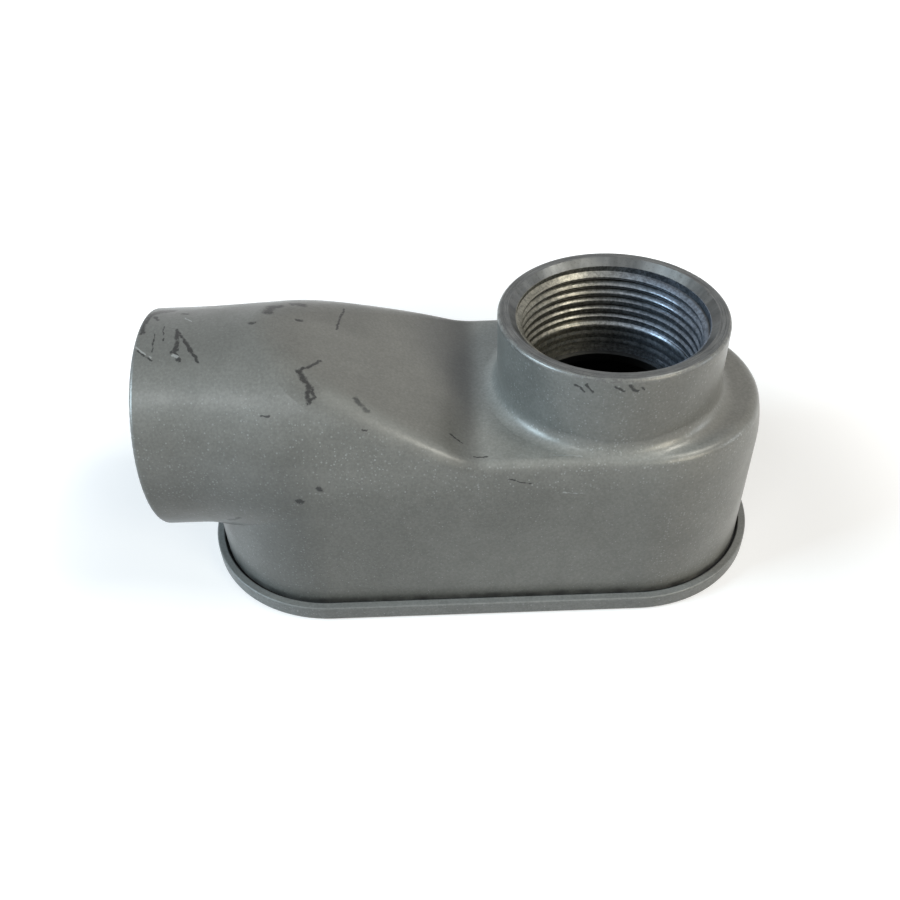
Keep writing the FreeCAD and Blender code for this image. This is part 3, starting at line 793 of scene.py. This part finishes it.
def thread_mesh(pitch, length, sides, phases, radius_of, start_radius, end_radius, back=None):
    """Closed thread about +Z from 0 to the length, with rows that follow the helix.
    An inside thread states the radius of its back, and an outside one has caps."""
    mesh = bmesh.new()
    turn = len(phases)
    margin = END_MARGIN * pitch
    last = int((length - 2 * margin - pitch) / pitch * turn)

    def corner(radius, side, height):
        angle = 2 * math.pi * side / sides
        return mesh.verts.new((radius * math.cos(angle), radius * math.sin(angle), height))

    columns = []
    for side in range(sides):
        column = []
        for row in range(last + 1):
            phase = phases[row % turn]
            height = margin + (row // turn + phase + side / sides) * pitch
            column.append(corner(radius_of(phase, height), side, height))
        columns.append(column)
    first = [corner(start_radius, side, 0.0) for side in range(sides)]
    final = [corner(end_radius, side, length) for side in range(sides)]
    for side in range(sides):
        after = (side + 1) % sides
        shift = turn if after == 0 else 0
        here, there = columns[side], columns[after]
        for row in range(last - shift):
            mesh.faces.new((here[row], there[row + shift], there[row + shift + 1], here[row + 1]))
        mesh.faces.new([first[side], first[after]] + there[:shift + 1] + [here[0]])
        mesh.faces.new([final[after], final[side]] + here[last - shift:][::-1] + [there[last]])
    if back is None:
        mesh.faces.new(first[::-1])
        mesh.faces.new(final)
    else:
        near = [corner(back, side, 0.0) for side in range(sides)]
        far = [corner(back, side, length) for side in range(sides)]
        for side in range(sides):
            after = (side + 1) % sides
            mesh.faces.new((first[side], near[side], near[after], first[after]))
            mesh.faces.new((near[side], far[side], far[after], near[after]))
            mesh.faces.new((far[side], final[side], final[after], far[after]))
    bmesh.ops.triangulate(mesh, faces=[face for face in mesh.faces if len(face.verts) > 4])
    bmesh.ops.recalc_face_normals(mesh, faces=mesh.faces)
    return mesh


def finish_piece(name, mesh, matrix, material, body, crease):
    """Object from a mesh, smooth but for its creases, on a body."""
    data = bpy.data.meshes.new(name)
    mesh.to_mesh(data)
    mesh.free()
    piece = bpy.data.objects.new(name, data)
    piece.matrix_world = matrix
    data.materials.append(material)
    data.shade_smooth()
    data.set_sharp_from_angle(angle=math.radians(crease))
    bpy.context.scene.collection.objects.link(piece)
    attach(piece, body)
    return piece


def conduit_radius(phase, height):
    """Radius of the inside thread at a phase of its turn and a height behind the lead-in."""
    share = 1 - abs(2 * phase - 1)
    fade = min(max((height - THREAD_FADE[0]) / (THREAD_FADE[1] - THREAD_FADE[0]), 0.0), 1.0)
    root = THREAD_RADIUS - THREAD_INSET - height * THREAD_TAPER
    root += (BORED_RADIUS - THREAD_INSET - root) * fade
    depth = THREAD_DEPTH + (FADED_DEPTH - THREAD_DEPTH) * fade
    crest = BORED_RADIUS - (THREAD_INSET + FADED_DEPTH) * fade
    lead = THREAD_RADIUS - LEAD_SLOPE * height
    return min(root, max(root - depth * share, crest, lead))


def make_conduit_threads():
    """Threaded linings of both hubs."""
    material = thread_material()
    length = THREAD_END - MOUTH_CHAMFER
    back_place = (Matrix.Translation((0, 0, BACK_FACE - MOUTH_CHAMFER))
                  @ Matrix.Rotation(math.pi, 4, "X") @ Matrix.Rotation(math.pi / 2, 4, "Z"))
    end_place = (Matrix.Translation((END_FACE + MOUTH_CHAMFER, 0, HUB_AXIS_Z))
                 @ Matrix.Rotation(math.pi / 2, 4, "Y"))
    for name, place in (("back_hub_thread", back_place), ("end_hub_thread", end_place)):
        mesh = thread_mesh(THREAD_PITCH, length, THREAD_SIDES, THREAD_PHASES, conduit_radius,
                           THREAD_RADIUS - THREAD_INSET, BORED_RADIUS - THREAD_INSET,
                           THREAD_RADIUS + THREAD_BACK)
        finish_piece(name, mesh, place, material, "housing", THREAD_CREASE)


def turned(rings):
    """Closed turned solid through rings, each a radius and a height."""
    mesh = bmesh.new()
    rows = []
    for radius, height in rings:
        angles = [2 * math.pi * side / SCREW_SIDES for side in range(SCREW_SIDES)]
        rows.append([mesh.verts.new((radius * math.cos(angle), radius * math.sin(angle), height))
                     for angle in angles])
    for lower, upper in zip(rows, rows[1:]):
        for side in range(SCREW_SIDES):
            after = (side + 1) % SCREW_SIDES
            mesh.faces.new((lower[side], lower[after], upper[after], upper[side]))
    mesh.faces.new(rows[0][::-1])
    mesh.faces.new(rows[-1])
    return mesh


def keep_side(mesh, sign):
    """Cut a turned solid at one wall of the driver slot and close it there."""
    cut = bmesh.ops.bisect_plane(mesh, geom=mesh.verts[:] + mesh.edges[:] + mesh.faces[:],
                                 plane_co=(sign * SLOT_WIDTH / 2, 0, 0), plane_no=(sign, 0, 0),
                                 clear_inner=True)
    rim = [item for item in cut["geom_cut"] if isinstance(item, bmesh.types.BMEdge)]
    bmesh.ops.edgeloop_fill(mesh, edges=rim)
    return mesh


def shank_radius(phase, height):
    """Radius of the screw's thread at a phase of its turn and a height above the head."""
    share = 1 - abs(2 * phase - 1)
    radius = SCREW_RADIUS - SCREW_THREAD_DEPTH * (1 - share)
    return min(radius, SCREW_RADIUS - SCREW_POINT + (SCREW_END - HEAD_RINGS[-1][1] - height))


def make_screws():
    """Cover screws: a countersunk head with a driver slot, and a threaded shank."""
    material = steel_material()
    for side in ("left", "right"):
        node = "cover_screw_" + side
        low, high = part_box(node)
        mesh = thread_mesh(SCREW_PITCH, SCREW_END - HEAD_RINGS[-1][1], SCREW_SIDES, SCREW_PHASES,
                           shank_radius, SCREW_RADIUS - SCREW_THREAD_DEPTH,
                           SCREW_RADIUS - SCREW_POINT)
        bmesh.ops.translate(mesh, vec=(0, 0, HEAD_RINGS[-1][1]), verts=mesh.verts)
        slotted = HEAD_RINGS[:SLOT_RING + 1]
        for part in (keep_side(turned(slotted), 1), keep_side(turned(slotted), -1),
                     turned(HEAD_RINGS[SLOT_RING:])):
            data = bpy.data.meshes.new("head_part")
            part.to_mesh(data)
            part.free()
            mesh.from_mesh(data)
            bpy.data.meshes.remove(data)
        place = Matrix.Translation(((low.x + high.x) / 2, 0, 0))
        piece = finish_piece(node + "_threaded", mesh, place, material, "screw_" + side,
                             SCREW_CREASE)
        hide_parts(node)


def dress(node, material):
    """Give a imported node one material."""
    piece = frame["nodes"][node]
    piece.data.materials.clear()
    piece.data.materials.append(material)


def housing_tree():
    """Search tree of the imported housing, in the row frame."""
    piece = frame["nodes"]["housing"]
    places = [piece.matrix_world @ vertex.co for vertex in piece.data.vertices]
    return BVHTree.FromPolygons(places, [list(face.vertices) for face in piece.data.polygons])


make_camera()
light_the_scene()
make_floor()
HOUSING_TREE = housing_tree()
LINE_GROUP = line_group()
dress("housing", casting_material())
dress("cover", cover_material())
dress("gasket", rubber_material())
make_conduit_threads()
make_screws()
